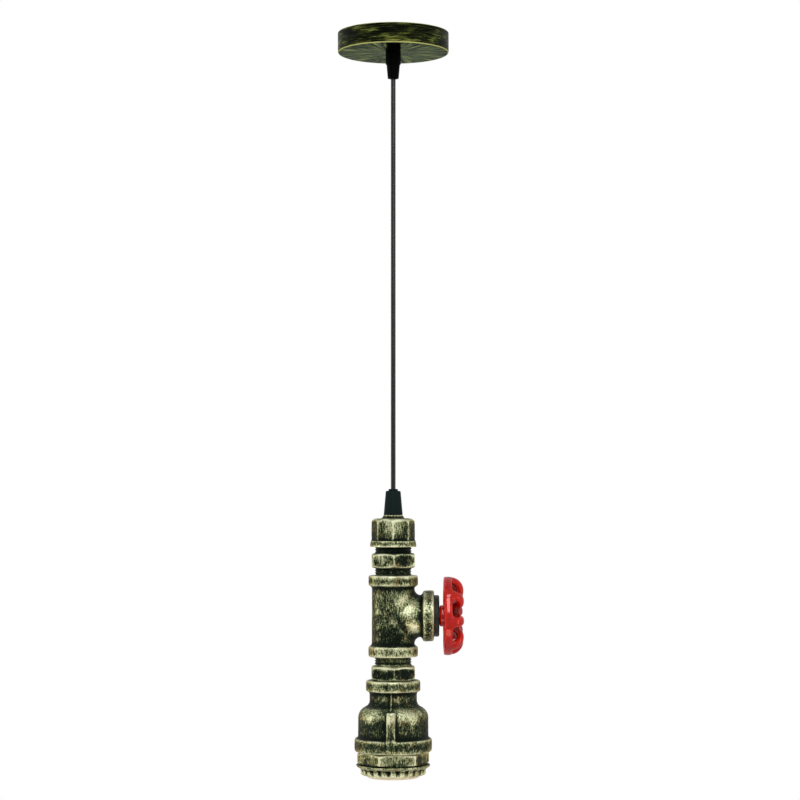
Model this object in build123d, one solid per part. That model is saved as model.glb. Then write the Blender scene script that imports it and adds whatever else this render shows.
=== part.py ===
from build123d import *
import math
import os

# An industrial pendant light. Cast pipe fittings hang on one black cord from a shallow steel cup
# on the ceiling. A tee in the pipe carries a red valve handwheel that turns on its stem, and a
# porcelain screw lampholder looks out of a fluted ring at the lower end of the pipe.
# Millimetres, +Z up. The origin is in the ceiling plane, at the middle of the cup's open rim.
# The handwheel points along +X. The light is seen from the -Y side.

# Clearances and cutting
fit_gap = 0.05  # radial gap of a screwed or pushed joint
run_gap = 0.3  # gap between a piece that moves and one that stays
overrun = 2.0  # how far a cutting tool passes the face that it cuts

# Ceiling cup, a deep-drawn steel shell that is open towards the ceiling
cup_diameter = 100.0
cup_height = 18.0
cup_wall = 1.2
cup_edge_radius = 1.4

# Ceiling bracket, a steel strap bent to a hat: feet with slots for ceiling screws, and a low middle
# that lies on the cup's floor, where the cord grip's stud and nut hold it
bracket_width = 16.0
bracket_thickness = 1.5
bracket_bend_radius = 3.0
bracket_middle_length = 34.0
bracket_end_gap = 4.1  # from each foot's corners to the cup's wall
slot_width = 4.5
slot_length = 12.0
slot_spacing = 60.0
stud_hole_play = 0.2  # radial play of the stud in the cup and in the bracket

# Cross recess of every screw, as shares of its head
recess_length_share = 0.6
recess_width_share = 0.16
recess_depth_share = 0.5

# Cord, and the two insulated cores inside it
cord_diameter = 4.3
cord_free_length = 370.0
core_diameter = 1.8
core_spacing = 2.1
swing_gap = 0.3  # gap round the ball at which the cord swings

# Threaded stud, lock nut and washer that both cord grips share
stud_diameter = 10.0
grip_bore_diameter = 5.2
lock_nut_width = 14.0
lock_nut_height = 3.5
washer_diameter = 15.5
washer_thickness = 1.0
stud_tail = 1.5  # thread that shows past the nut

# Upper cord grip, under the cup
collar_diameter = 13.8
collar_height = 10.2
collar_edge = 0.6
upper_cone_base_diameter = 12.1
upper_cone_tip_diameter = 9.9
upper_cone_height = 12.8
upper_cone_wall = 1.4
mouth_flare = 0.8
upper_spigot_length = 5.0
sleeve_length = 3.0

# Lower cord grip, on top of the pipe cap
lower_cone_base_diameter = 17.1
lower_cone_tip_diameter = 13.4
lower_cone_height = 21.6
lower_cone_edge = 0.7
shoulder_diameter = 14.6
shoulder_height = 3.0
lower_spigot_length = 6.5
collet_diameter = 8.6
collet_rise = 1.7
petal_count = 6
petal_slot_width = 0.9
petal_slot_depth = 4.0

# Terminal block on the floor of the cup
block_length = 15.0
block_width = 17.0
block_height = 11.0
block_pole_pitch = 8.5
block_axis_height = 4.6
block_offset = 26.0  # from the middle of the cup to the middle of the block
block_turn = -90.0  # turns the block from -X to the cup's far side, past the bracket
block_waist = 1.6
tube_diameter = 4.4
tube_bore_diameter = 2.6
tube_setback = 1.0
block_screw_diameter = 3.2
block_screw_pitch = 8.0

# Pipe thread of the run, and the hex nipples that join its fittings
thread_diameter = 33.2
nipple_width = 38.0
nipple_hex_height = 12.8
nipple_thread_length = 17.8
nipple_bore_diameter = 26.0
nipple_edge = 1.0
hex_chamfer_angle = 25.0
hex_face_share = 0.97  # flat end of a hexagon, as a share of its width
thread_above_upper_hex = 6.0
thread_below_upper_hex = 6.6
thread_above_lower_hex = 8.1
upper_hex_turn = 2.2  # a corner stands this far from straight towards the viewer
lower_hex_turn = 2.5

# Pipe cap, an octagon with a bead round its mouth and a raised boss for the cord grip
cap_corner_diameter = 39.2
cap_height = 25.4
cap_crown = 5.0
cap_crown_flat_diameter = 26.0
cap_crown_drop = 3.0
cap_bead_height = 5.4
cap_bead_top_diameter = 40.4
cap_bead_diameter = 41.8
cap_boss_height = 3.2
cap_boss_top_diameter = 18.0
cap_boss_base_diameter = 23.0
cap_thread_depth = 16.0

# Tee
tee_reach = 36.5  # from the middle to each of the three mouths
tee_body_diameter = 38.2
tee_neck_diameter = 37.4
tee_bore_diameter = 30.0
tee_thread_depth = 15.0
run_bead_diameter = 44.4
run_bead_height = 8.9
branch_bead_diameter = 45.6
branch_bead_height = 9.3
bead_taper = 1.8
bead_edge = 0.8
tee_blend_share = 0.85  # share of the room between a run bead and the branch that the blend takes

# Plug in the tee's branch, and the stem that turns in it
plug_diameter = 37.3
plug_height = 4.7
plug_edge = 1.3
plug_thread_length = 14.0
plug_web = 8.0
plug_hollow_diameter = 24.0
stem_diameter = 10.0
stem_nut_width = 16.0
stem_nut_height = 5.0
stem_washer_diameter = 19.0
stem_washer_thickness = 1.2
stem_tail = 2.0

# Handwheel: a rim, spokes that arch over its front edge, and a hub
wheel_diameter = 70.2
rim_width = 7.4
rim_thickness = 3.8
rim_edge = 1.1
scallop_radius = 14.0
scallop_depth = 0.8
scallop_edge = 2.5
spoke_count = 8
spoke_turn = 8.0  # the first spoke, in degrees from straight up towards -Y
spoke_width = 9.0
spoke_thickness = 7.0
wheel_depth = 17.9
arch_radius = 12.0
crest_width = 0.5  # flat top of each arch, before it dips towards the hub
dish_radius = 8.0
dish_angle = 35.0
hub_diameter = 19.2
hub_back_length = 3.6
hub_front_length = 12.0
hub_edge = 1.5
hub_web = 3.5
wheel_screw_diameter = 5.0
wheel_screw_length = 12.0
wheel_screw_head_diameter = 10.0
wheel_screw_head_height = 2.4

# Bell-shaped reducer with cast ribs
reducer_height = 63.8
small_bead_diameter = 48.8
small_bead_height = 10.4
reducer_neck_diameter = 42.4
reducer_neck_height = 7.7
reducer_shoulder_height = 15.5
shoulder_hollow_share = 0.36  # share of the shoulder's curve that is hollow, above the round part
reducer_body_diameter = 63.0
large_bead_diameter = 69.4
large_bead_height = 11.9
large_bead_edge = 2.4
small_thread_depth = 18.5
large_thread_depth = 15.0
reducer_cavity_diameter = 52.0
rib_count = 2
rib_width = 7.8
rib_height = 2.6
rib_over_bead = 0.7  # how far the ribs stand out of the large bead
rib_start_share = 0.55  # how far down the shoulder the ribs start
rib_turn = -3.5

# Hex bushing, which carries the lampholder in the reducer's mouth
bushing_thread_diameter = 54.0
bushing_thread_length = 14.0
bushing_hex_width = 56.5
bushing_hex_height = 11.2
bushing_hex_turn = 37.6
bushing_chamfer_angle = 14.0
bushing_bore_diameter = 45.0
bushing_spigot_diameter = 52.0
bushing_spigot_length = 3.7

# Fluted ring, which clamps the lampholder's flange on the bushing
ring_lip_diameter = 66.4
ring_lip_height = 1.3
ring_cone_height = 2.9
ring_band_diameter = 58.2
ring_height = 9.3
ring_seat_depth = 6.7
ring_bore_diameter = 48.0
ring_edge = 1.1
flute_count = 22
flute_radius = 2.4
flute_depth = 1.5

# Porcelain lampholder, with its brass screw shell, contact strip and terminals
holder_height = 43.1
holder_rim_diameter = 47.3
holder_rim_height = 5.1
holder_flange_diameter = 51.4
holder_flange_height = 3.0
holder_waist_diameter = 44.2
holder_waist_height = 19.9
holder_top_diameter = 38.0
holder_edge = 0.9
well_diameter = 27.9
well_depth = 25.6
well_flare = 1.4
shell_bore_diameter = 26.7
shell_wall = 0.5
shell_web_bore_diameter = 17.0
shell_neck_diameter = 25.5
shell_neck_height = 1.5
contact_recess_depth = 3.5
contact_recess_width = 9.0
contact_width = 6.0
contact_thickness = 0.6
contact_reach = 3.0  # how far the strip passes the middle
contact_tip_drop = 3.6
terminal_offset = 10.8
terminal_size = 5.2
rivet_diameter = 2.4
rivet_head_diameter = 3.8
rivet_head_height = 0.8
terminal_screw_diameter = 2.6
terminal_screw_length = 2.5
terminal_screw_head_diameter = 4.4
terminal_screw_head_height = 1.4
core_entry_depth = 3.0

# Heights, each worked out from the piece above
cup_floor_z = -cup_height
collar_low_z = cup_floor_z - collar_height
mouth_z = collar_low_z - upper_cone_height
cord_end_z = mouth_z - cord_free_length
cone_tip_z = cord_end_z - collet_rise
cone_base_z = cone_tip_z - lower_cone_height
cap_top_z = cone_base_z - cap_boss_height
cap_low_z = cap_top_z - cap_height
upper_hex_z = cap_low_z - thread_above_upper_hex
tee_top_z = upper_hex_z - nipple_hex_height - thread_below_upper_hex
branch_z = tee_top_z - tee_reach
tee_low_z = branch_z - tee_reach
lower_hex_z = tee_low_z - thread_above_lower_hex
reducer_top_z = lower_hex_z - nipple_hex_height
reducer_low_z = reducer_top_z - reducer_height
ring_top_z = reducer_low_z - bushing_hex_height
flange_top_z = ring_top_z - bushing_spigot_length
holder_low_z = flange_top_z - holder_flange_height - holder_rim_height
holder_top_z = holder_low_z + holder_height

# Places along the branch, from the pipe's axis outwards
plug_face_x = tee_reach + plug_height
hub_back_x = plug_face_x + run_gap
wheel_back_x = hub_back_x + hub_back_length

# Sheath ends of the cord, inside the cup and inside the reducer
cup_inside_z = cup_floor_z + cup_wall
bracket_seat_z = cup_inside_z + bracket_thickness
stud_top_z = bracket_seat_z + washer_thickness + lock_nut_height + stud_tail
upper_sheath_end_z = stud_top_z + cord_diameter / 4
lower_sheath_end_z = reducer_top_z - small_thread_depth - 2 * cord_diameter
block_x = -block_offset
block_axis_z = cup_inside_z + block_axis_height


def ring_of(radius, count, turn=0.0):
    """Places evenly round the Z axis, each turned to face outwards."""
    return [Rot(0, 0, turn + 360 / count * i) * Pos(radius, 0, 0) for i in range(count)]


def turned(*edges):
    """The solid made by turning a closed outline round the Z axis. X is the radius, Y the height."""
    return revolve(Plane.XZ * make_face(Curve() + list(edges)), axis=Axis.Z)


def turned_points(*points):
    """A turned solid with straight sides, from (radius, height) points."""
    return turned(Polyline(*points, close=True))


def tube(outer_diameter, inner_diameter, low, high):
    """A plain upright tube between two heights."""
    outer, inner = outer_diameter / 2, inner_diameter / 2
    return turned_points((inner, low), (outer, low), (outer, high), (inner, high))


def rod(diameter, low, high):
    """A plain upright rod between two heights."""
    return turned_points((0, low), (diameter / 2, low), (diameter / 2, high), (0, high))


def hexagon(width, low, high, turn=0.0, chamfer_angle=hex_chamfer_angle):
    """A hexagonal bar with a corner towards -Y before it turns, and its ends' corners turned off."""
    corner = width / math.sqrt(3)
    face = width / 2 * hex_face_share
    drop = (corner - face) * math.tan(math.radians(chamfer_angle))
    envelope = turned_points(
        (0, low), (face, low), (corner, low + drop), (corner, high - drop), (face, high), (0, high)
    )
    flats = RegularPolygon(width / 2, 6, major_radius=False, rotation=turn - 90)
    return Pos(0, 0, low) * extrude(flats, high - low) & envelope


def hex_nut(width, thread, low, high, turn=0.0):
    """A hexagon with a thread hole along its axis."""
    return hexagon(width, low, high, turn) - rod(thread + 2 * fit_gap, low - overrun, high + overrun)


def cross_screw(diameter, length, head_diameter, head_height):
    """A pan-head screw with a cross recess. The head's seat is at the origin, the shank points down."""
    edge = head_height / 3
    head = fillet(rod(head_diameter, 0, head_height).edges().group_by(Axis.Z)[-1], edge)
    bar = Box(
        head_diameter * recess_length_share,
        head_diameter * recess_width_share,
        2 * head_height * recess_depth_share,
    )
    cross = Pos(0, 0, head_height) * (bar + Rot(0, 0, 90) * bar)
    return head - cross + rod(diameter, -length, 0)


def bend_radii(points):
    """The largest arc at each corner of a route that its two runs allow."""
    radii = []
    for before, at, after in zip(points, points[1:], points[2:]):
        arrive, leave = Vector(*at) - Vector(*before), Vector(*after) - Vector(*at)
        half_turn = math.radians(arrive.get_angle(leave)) / 2
        radii.append(0.45 * min(arrive.length, leave.length) / math.tan(half_turn))
    return radii


def wire(diameter, points):
    """A round wire along straight runs joined by tangent arcs."""
    radii = bend_radii(points)
    print("wire radii:", [round(r, 1) for r in radii])
    path = FilletPolyline(*points, radius=radii)
    start = Plane(path @ 0, z_dir=path % 0)
    return sweep(start * Circle(diameter / 2), path=path)


def make_cup():
    radius, inside = cup_diameter / 2, cup_diameter / 2 - cup_wall
    shell = turned_points(
        (0, cup_floor_z), (radius, cup_floor_z), (radius, 0), (inside, 0), (inside, cup_inside_z),
        (0, cup_inside_z)
    )
    edges = shell.edges().filter_by(GeomType.CIRCLE).group_by(Axis.Z)
    shell = fillet(edges[0].sort_by(SortBy.RADIUS)[-1], cup_edge_radius)
    return shell - rod(stud_diameter + 2 * stud_hole_play, cup_floor_z - overrun, cup_inside_z + overrun)


def make_bracket():
    """Hat-shaped strap: two slotted feet on the ceiling, two legs, and a middle on the cup's floor."""
    inside = cup_diameter / 2 - cup_wall
    reach = math.sqrt(inside**2 - (bracket_width / 2) ** 2) - bracket_end_gap
    middle, low = bracket_middle_length / 2, cup_inside_z
    centre_line = FilletPolyline(
        (-reach, -bracket_thickness / 2), (-middle, -bracket_thickness / 2),
        (-middle, low + bracket_thickness / 2), (middle, low + bracket_thickness / 2),
        (middle, -bracket_thickness / 2), (reach, -bracket_thickness / 2), radius=bracket_bend_radius
    )
    strap = extrude(Plane.XZ * trace(centre_line, bracket_thickness), bracket_width / 2, both=True)
    slot = extrude(SlotOverall(slot_length, slot_width), overrun + bracket_thickness, both=True)
    for x in (-slot_spacing / 2, slot_spacing / 2):
        strap -= Pos(x, 0, 0) * slot
    hole = stud_diameter + 2 * stud_hole_play
    return strap - rod(hole, low - overrun, low + bracket_thickness + overrun)


def make_upper_grip_body():
    """Stud through the cup, the collar under it, and the spigot that the cone screws on."""
    spigot = upper_cone_base_diameter - 2 * upper_cone_wall
    collar = rod(collar_diameter, collar_low_z, cup_floor_z)
    collar = fillet(collar.edges().group_by(Axis.Z)[0], collar_edge)
    body = collar + rod(stud_diameter, cup_floor_z, stud_top_z)
    body += rod(spigot, collar_low_z - upper_spigot_length, collar_low_z)
    return body - rod(grip_bore_diameter, mouth_z, stud_top_z + overrun)


def make_upper_cone():
    base, tip = upper_cone_base_diameter / 2, upper_cone_tip_diameter / 2
    socket = base - upper_cone_wall + fit_gap
    seat_z = collar_low_z - upper_spigot_length - sleeve_length - fit_gap
    bore = grip_bore_diameter / 2
    return turned_points(
        (socket, collar_low_z), (base, collar_low_z), (tip, mouth_z), (bore + mouth_flare, mouth_z),
        (bore, mouth_z + mouth_flare), (bore, seat_z), (socket, seat_z)
    )


def make_upper_sleeve():
    """Rubber sleeve that the cone squeezes on the cord."""
    top = collar_low_z - upper_spigot_length
    outer = upper_cone_base_diameter - 2 * upper_cone_wall
    return tube(outer, cord_diameter + 2 * fit_gap, top - sleeve_length, top - fit_gap)


def make_upper_washer():
    return tube(
        washer_diameter, stud_diameter + 2 * fit_gap, bracket_seat_z, bracket_seat_z + washer_thickness
    )


def make_upper_nut():
    low = bracket_seat_z + washer_thickness
    return hex_nut(lock_nut_width, stud_diameter, low, low + lock_nut_height)


def swing_hollow():
    """The round hollow that the cord's ends leave for the ball between them."""
    return Pos(0, 0, mouth_z) * Sphere(cord_diameter / 2 + swing_gap)


def make_upper_cord():
    return rod(cord_diameter, mouth_z, upper_sheath_end_z) - swing_hollow()


def make_cord_ball():
    return Pos(0, 0, mouth_z) * Sphere(cord_diameter / 2)


def make_cord():
    return rod(cord_diameter, cord_end_z, mouth_z) - swing_hollow()


def block_poles():
    """The two sides of the terminal block, as signs of Y."""
    return (-1, 1)


def make_upper_core(side):
    """One insulated core, from the sheath's end over into a terminal tube."""
    y, pole_y = side * core_spacing / 2, side * block_pole_pitch / 2
    end_x = block_x + block_length / 2
    top_z = -2 * core_diameter
    core = wire(core_diameter, [
        (0, y, upper_sheath_end_z),
        (0, y, top_z),
        (end_x / 2, (y + pole_y) / 2, top_z),
        (end_x + 2 * core_diameter, pole_y, block_axis_z),
        (end_x - 2 * core_diameter, pole_y, block_axis_z),
    ])
    return Rot(0, 0, block_turn) * core


def make_block():
    """Terminal block with a tube hole and two screw wells for each pole, and a waist between them."""
    body = Box(block_length, block_width, block_height)
    body = fillet(body.edges().filter_by(Axis.Z), block_waist / 2)
    body = Pos(block_x, 0, cup_inside_z + block_height / 2) * body
    for side in block_poles():
        hole = Rot(0, 90, 0) * Cylinder(tube_diameter / 2 + fit_gap, block_length + overrun)
        body -= Pos(block_x, side * block_pole_pitch / 2, block_axis_z) * hole
    for place in block_screw_places():
        well = Cylinder(block_screw_diameter / 2 + fit_gap, block_height,
                        align=(Align.CENTER, Align.CENTER, Align.MIN))
        body -= place * well
    for end in (-1, 1):
        waist = Cylinder(block_waist / 2, block_height + overrun)
        body -= Pos(block_x + end * block_length / 2, 0, cup_inside_z + block_height / 2) * waist
    return Rot(0, 0, block_turn) * body


def block_screw_places():
    """Where the four terminal screws stand on the tubes."""
    return [
        Pos(block_x + along * block_screw_pitch / 2, side * block_pole_pitch / 2, block_axis_z)
        for along in (-1, 1)
        for side in block_poles()
    ]


def make_block_tubes():
    """A brass tube for each pole, with a tapped hole under each screw."""
    length = block_length - 2 * tube_setback
    plain = Cylinder(tube_diameter / 2, length) - Cylinder(tube_bore_diameter / 2, length)
    plain = Rot(0, 90, 0) * plain
    tubes = []
    for side in block_poles():
        one = Pos(block_x, side * block_pole_pitch / 2, block_axis_z) * plain
        for along in (-1, 1):
            hole = Cylinder(block_screw_diameter / 2 + fit_gap, tube_diameter,
                            align=(Align.CENTER, Align.CENTER, Align.MIN))
            screw_x = block_x + along * block_screw_pitch / 2
            one -= Pos(screw_x, side * block_pole_pitch / 2, block_axis_z) * hole
        tubes.append(Rot(0, 0, block_turn) * one)
    return tubes


def make_block_screws():
    """Slotted grub screws, each down on the core in its tube."""
    foot = core_diameter / 2 + fit_gap
    head = block_height - block_axis_height - tube_setback
    screw = rod(block_screw_diameter, foot, head)
    slot = Box(block_screw_diameter, block_screw_diameter * recess_width_share, core_diameter)
    screw -= Pos(0, 0, head) * slot
    return [Rot(0, 0, block_turn) * place * screw for place in block_screw_places()]


def make_lower_cone():
    """The moulded cone that stands on the cap's boss and closes on the collet."""
    base, tip = lower_cone_base_diameter / 2, lower_cone_tip_diameter / 2
    shoulder = shoulder_diameter / 2 + fit_gap
    thread = stud_diameter / 2 + fit_gap
    throat = collet_diameter / 2 + fit_gap
    shoulder_z = cone_base_z + shoulder_height + fit_gap
    spigot_z = cone_base_z + shoulder_height + lower_spigot_length
    return turned_points(
        (shoulder, cone_base_z), (base, cone_base_z), (tip, cone_tip_z - lower_cone_edge),
        (tip - lower_cone_edge, cone_tip_z), (throat, cone_tip_z), (throat, spigot_z),
        (thread, spigot_z), (thread, shoulder_z), (shoulder, shoulder_z)
    )


def make_lower_grip_body():
    """Stud down into the cap, a shoulder inside the cone's skirt, and a short spigot above it."""
    low = cap_top_z - cap_crown - washer_thickness - lock_nut_height - stud_tail
    high = cone_base_z + shoulder_height + lower_spigot_length
    body = rod(stud_diameter, low, high)
    body += rod(shoulder_diameter, cone_base_z, cone_base_z + shoulder_height)
    return body - rod(grip_bore_diameter, low - overrun, high + overrun)


def make_collet():
    """Split sleeve round the cord. Its petals show as a small crown on top of the cone."""
    low = cone_base_z + shoulder_height + lower_spigot_length + fit_gap
    sleeve = tube(collet_diameter, cord_diameter + 2 * fit_gap, low, cord_end_z)
    sleeve = chamfer(sleeve.edges().group_by(Axis.Z)[-1].sort_by(SortBy.RADIUS)[-1], collet_rise / 3)
    slot = Box(
        collet_diameter, petal_slot_width, petal_slot_depth, align=(Align.MIN, Align.CENTER, Align.MAX)
    )
    for place in ring_of(0, petal_count):
        sleeve -= Pos(0, 0, cord_end_z) * place * slot
    return sleeve


def make_lower_washer():
    high = cap_top_z - cap_crown
    return tube(washer_diameter, stud_diameter + 2 * fit_gap, high - washer_thickness, high)


def make_lower_nut():
    high = cap_top_z - cap_crown - washer_thickness
    return hex_nut(lock_nut_width, stud_diameter, high - lock_nut_height, high)


def make_inner_cord():
    """The cord from the collet's top down through the pipe, to where its sheath is stripped."""
    return rod(cord_diameter, lower_sheath_end_z, cord_end_z)


def make_cap():
    """Octagonal pipe cap: rounded crown, flared bead and a hollow-sided boss for the cord grip."""
    corner, flat = cap_corner_diameter / 2, cap_crown_flat_diameter / 2
    bead_z = cap_low_z + cap_bead_height
    crown_mid = (
        flat + (corner - flat) * math.sin(math.pi / 4),
        cap_top_z - cap_crown_drop * (1 - math.cos(math.pi / 4)),
    )
    envelope = turned(
        Line((0, cap_low_z), (corner, cap_low_z)),
        Line((corner, cap_low_z), (corner, cap_top_z - cap_crown_drop)),
        ThreePointArc((corner, cap_top_z - cap_crown_drop), crown_mid, (flat, cap_top_z)),
        Line((flat, cap_top_z), (0, cap_top_z)),
        Line((0, cap_top_z), (0, cap_low_z)),
    )
    octagon = RegularPolygon(corner, 8, rotation=-90)
    body = Pos(0, 0, cap_low_z) * extrude(octagon, cap_height) & envelope
    body += turned_points(
        (0, cap_low_z), (cap_bead_diameter / 2, cap_low_z), (cap_bead_diameter / 2, cap_low_z + bead_edge),
        (cap_bead_top_diameter / 2, bead_z), (0, bead_z)
    )
    top, base = cap_boss_top_diameter / 2, cap_boss_base_diameter / 2
    hollow = (
        top + (base - top) * (1 - math.cos(math.pi / 4)),
        cone_base_z - cap_boss_height * math.sin(math.pi / 4),
    )
    body += turned(
        Line((0, cap_top_z), (base, cap_top_z)),
        ThreePointArc((base, cap_top_z), hollow, (top, cone_base_z)),
        Line((top, cone_base_z), (0, cone_base_z)),
        Line((0, cone_base_z), (0, cap_top_z)),
    )
    body -= rod(thread_diameter + 2 * fit_gap, cap_low_z - overrun, cap_low_z + cap_thread_depth)
    body -= rod(tee_bore_diameter, cap_low_z, cap_top_z - cap_crown)
    return body - rod(stud_diameter + 2 * fit_gap, cap_low_z, cone_base_z + overrun)


def make_nipple(hex_top_z, turn):
    """Hex nipple: a chamfered hexagon between two male threads."""
    low_z = hex_top_z - nipple_hex_height
    thread, edge = thread_diameter / 2, nipple_edge
    top, bottom = hex_top_z + nipple_thread_length, low_z - nipple_thread_length
    body = turned_points(
        (0, bottom), (thread - edge, bottom), (thread, bottom + edge),
        (thread, top - edge), (thread - edge, top), (0, top)
    )
    body += hexagon(nipple_width, low_z, hex_top_z, turn)
    return body - rod(nipple_bore_diameter, bottom - overrun, top + overrun)


def bead(diameter, neck, height):
    """Thick bead round a mouth at height zero, tapering to the neck below it."""
    radius = diameter / 2
    return turned_points(
        (0, 0), (radius - bead_edge, 0), (radius, -bead_edge), (radius, -height),
        (neck / 2, -height - bead_taper), (0, -height - bead_taper)
    )


def make_tee():
    """Equal tee with a bead round each mouth. The branch looks along +X."""
    run_bead = Pos(0, 0, tee_reach) * bead(run_bead_diameter, tee_body_diameter, run_bead_height)
    branch_bead = Pos(0, 0, tee_reach) * bead(branch_bead_diameter, tee_neck_diameter, branch_bead_height)
    body = rod(tee_body_diameter, -tee_reach, tee_reach) + run_bead + Rot(180, 0, 0) * run_bead
    body += Rot(0, 90, 0) * (rod(tee_neck_diameter, 0, tee_reach) + branch_bead)
    room = tee_reach - run_bead_height - bead_taper - tee_neck_diameter / 2
    body = fillet(body.edges().filter_by(GeomType.BSPLINE), tee_blend_share * room)
    thread = thread_diameter + 2 * fit_gap
    body -= rod(tee_bore_diameter, -tee_reach, tee_reach)
    body -= Rot(0, 90, 0) * rod(tee_bore_diameter, 0, tee_reach)
    mouth = rod(thread, tee_reach - tee_thread_depth, tee_reach + overrun)
    for turn in (0, 90, 180):
        body -= Rot(0, turn, 0) * mouth
    return Pos(0, 0, branch_z) * body


def on_branch(solid):
    """Lays a solid that was made on the Z axis along the tee's branch, with its X axis up."""
    return Plane(origin=(0, 0, branch_z), x_dir=(0, 0, 1), z_dir=(1, 0, 0)) * solid


def make_plug():
    """Round-edged plug in the branch, with a bore for the stem and a hollow behind its web."""
    radius, thread = plug_diameter / 2, thread_diameter / 2
    back = tee_reach - plug_thread_length
    head = fillet(rod(plug_diameter, tee_reach, plug_face_x).edges().group_by(Axis.Z)[-1], plug_edge)
    body = head + turned_points(
        (0, back), (thread - nipple_edge, back), (thread, back + nipple_edge), (thread, tee_reach), (0, tee_reach)
    )
    body -= rod(plug_hollow_diameter, back - overrun, plug_face_x - plug_web)
    return on_branch(body - rod(stem_diameter + 2 * fit_gap, back, plug_face_x + overrun))


def make_stem():
    """Stem from the nut behind the plug to the web in the handwheel's hub, tapped for the screw."""
    low = plug_face_x - plug_web - stem_washer_thickness - stem_nut_height - stem_tail
    high = wheel_back_x + hub_front_length - hub_web
    shank = chamfer(rod(stem_diameter, low, high).edges().group_by(Axis.Z)[0], bead_edge)
    tapped_low = high + hub_web - wheel_screw_length - fit_gap
    tapped = rod(wheel_screw_diameter + 2 * fit_gap, tapped_low, high + overrun)
    return on_branch(shank - tapped)


def make_stem_washer():
    high = plug_face_x - plug_web - fit_gap
    bore = stem_diameter + 2 * fit_gap
    return on_branch(tube(stem_washer_diameter, bore, high - stem_washer_thickness, high))


def make_stem_nut():
    high = plug_face_x - plug_web - fit_gap - stem_washer_thickness
    return on_branch(hex_nut(stem_nut_width, stem_diameter, high - stem_nut_height, high))


def make_spoke():
    """One spoke: out of the rim, over the front edge in a round arch, and down to the hub."""
    centre_radius = arch_radius - spoke_thickness / 2
    outer = wheel_diameter / 2 - spoke_thickness / 2
    foot = (outer, rim_edge / 2)
    rise = Line(foot, (outer, wheel_depth - arch_radius))
    arch = JernArc(rise @ 1, rise % 1, centre_radius, 90)
    crest = Line(arch @ 1, ((arch @ 1).X - crest_width, (arch @ 1).Y))
    dish = JernArc(crest @ 1, crest % 1, dish_radius, dish_angle)
    slope = math.tan(math.radians(dish_angle))
    hub_radius = stem_diameter / 2 + hub_edge
    hub = (hub_radius, (dish @ 1).Y - ((dish @ 1).X - hub_radius) * slope)
    fall = Line(dish @ 1, hub)
    path = Plane.XZ * (Curve() + [rise, arch, crest, dish, fall])
    wires = Wire(path.edges())
    section = Plane(wires @ 0, x_dir=(0, 1, 0), z_dir=(0, 0, 1)) * RectangleRounded(
        spoke_width, spoke_thickness, spoke_thickness / 2 - fit_gap
    )
    return sweep(section, path=wires)


def is_outside(edge):
    """True for an upright edge on the rim's outer face."""
    place = edge.center()
    return math.hypot(place.X, place.Y) > (wheel_diameter - rim_thickness) / 2


def make_rim():
    """The handwheel's rim: a short round-edged band with a shallow valley behind each spoke."""
    band = tube(wheel_diameter, wheel_diameter - 2 * rim_thickness, 0, rim_width)
    cutter = Cylinder(scallop_radius, 2 * rim_width + overrun)
    for place in ring_of(wheel_diameter / 2 + scallop_radius - scallop_depth, spoke_count, spoke_turn):
        band -= place * cutter
    band = fillet(band.edges().filter_by(Axis.Z).filter_by(lambda edge: is_outside(edge)), scallop_edge)
    return fillet(band.edges().group_by(Axis.Z)[0] + band.edges().group_by(Axis.Z)[-1], rim_edge)


def make_handwheel():
    """Cast handwheel: eight arched spokes between a scalloped rim and a hub with a web inside."""
    hub = rod(hub_diameter, -hub_back_length, hub_front_length)
    hub = fillet(hub.edges().group_by(Axis.Z)[-1], hub_edge)
    body = make_rim() + hub
    spoke = make_spoke()
    for place in ring_of(0, spoke_count, spoke_turn):
        body += place * spoke
    body -= rod(stem_diameter + 2 * fit_gap, -hub_back_length - overrun, hub_front_length - hub_web)
    body -= rod(wheel_screw_diameter + 2 * fit_gap, 0, hub_front_length + overrun)
    return Pos(wheel_back_x, 0, 0) * on_branch(body)


def make_wheel_screw():
    screw = cross_screw(
        wheel_screw_diameter, wheel_screw_length, wheel_screw_head_diameter, wheel_screw_head_height
    )
    return on_branch(Pos(0, 0, wheel_back_x + hub_front_length) * screw)


def shoulder_curve(start, end):
    """Two tangent arcs from one vertical wall to another: a hollow one and then a round one."""
    across, down = end[0] - start[0], start[1] - end[1]
    angle = 2 * math.atan2(across, down)
    total = down / math.sin(angle)
    hollow, full = total * shoulder_hollow_share, total * (1 - shoulder_hollow_share)

    def above(turn):
        return (start[0] + hollow * (1 - math.cos(turn)), start[1] - hollow * math.sin(turn))

    def below(turn):
        return (end[0] - full * (1 - math.cos(turn)), end[1] + full * math.sin(turn))

    return [
        ThreePointArc(start, above(angle / 2), above(angle)),
        ThreePointArc(above(angle), below(angle / 2), end),
    ]


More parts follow.
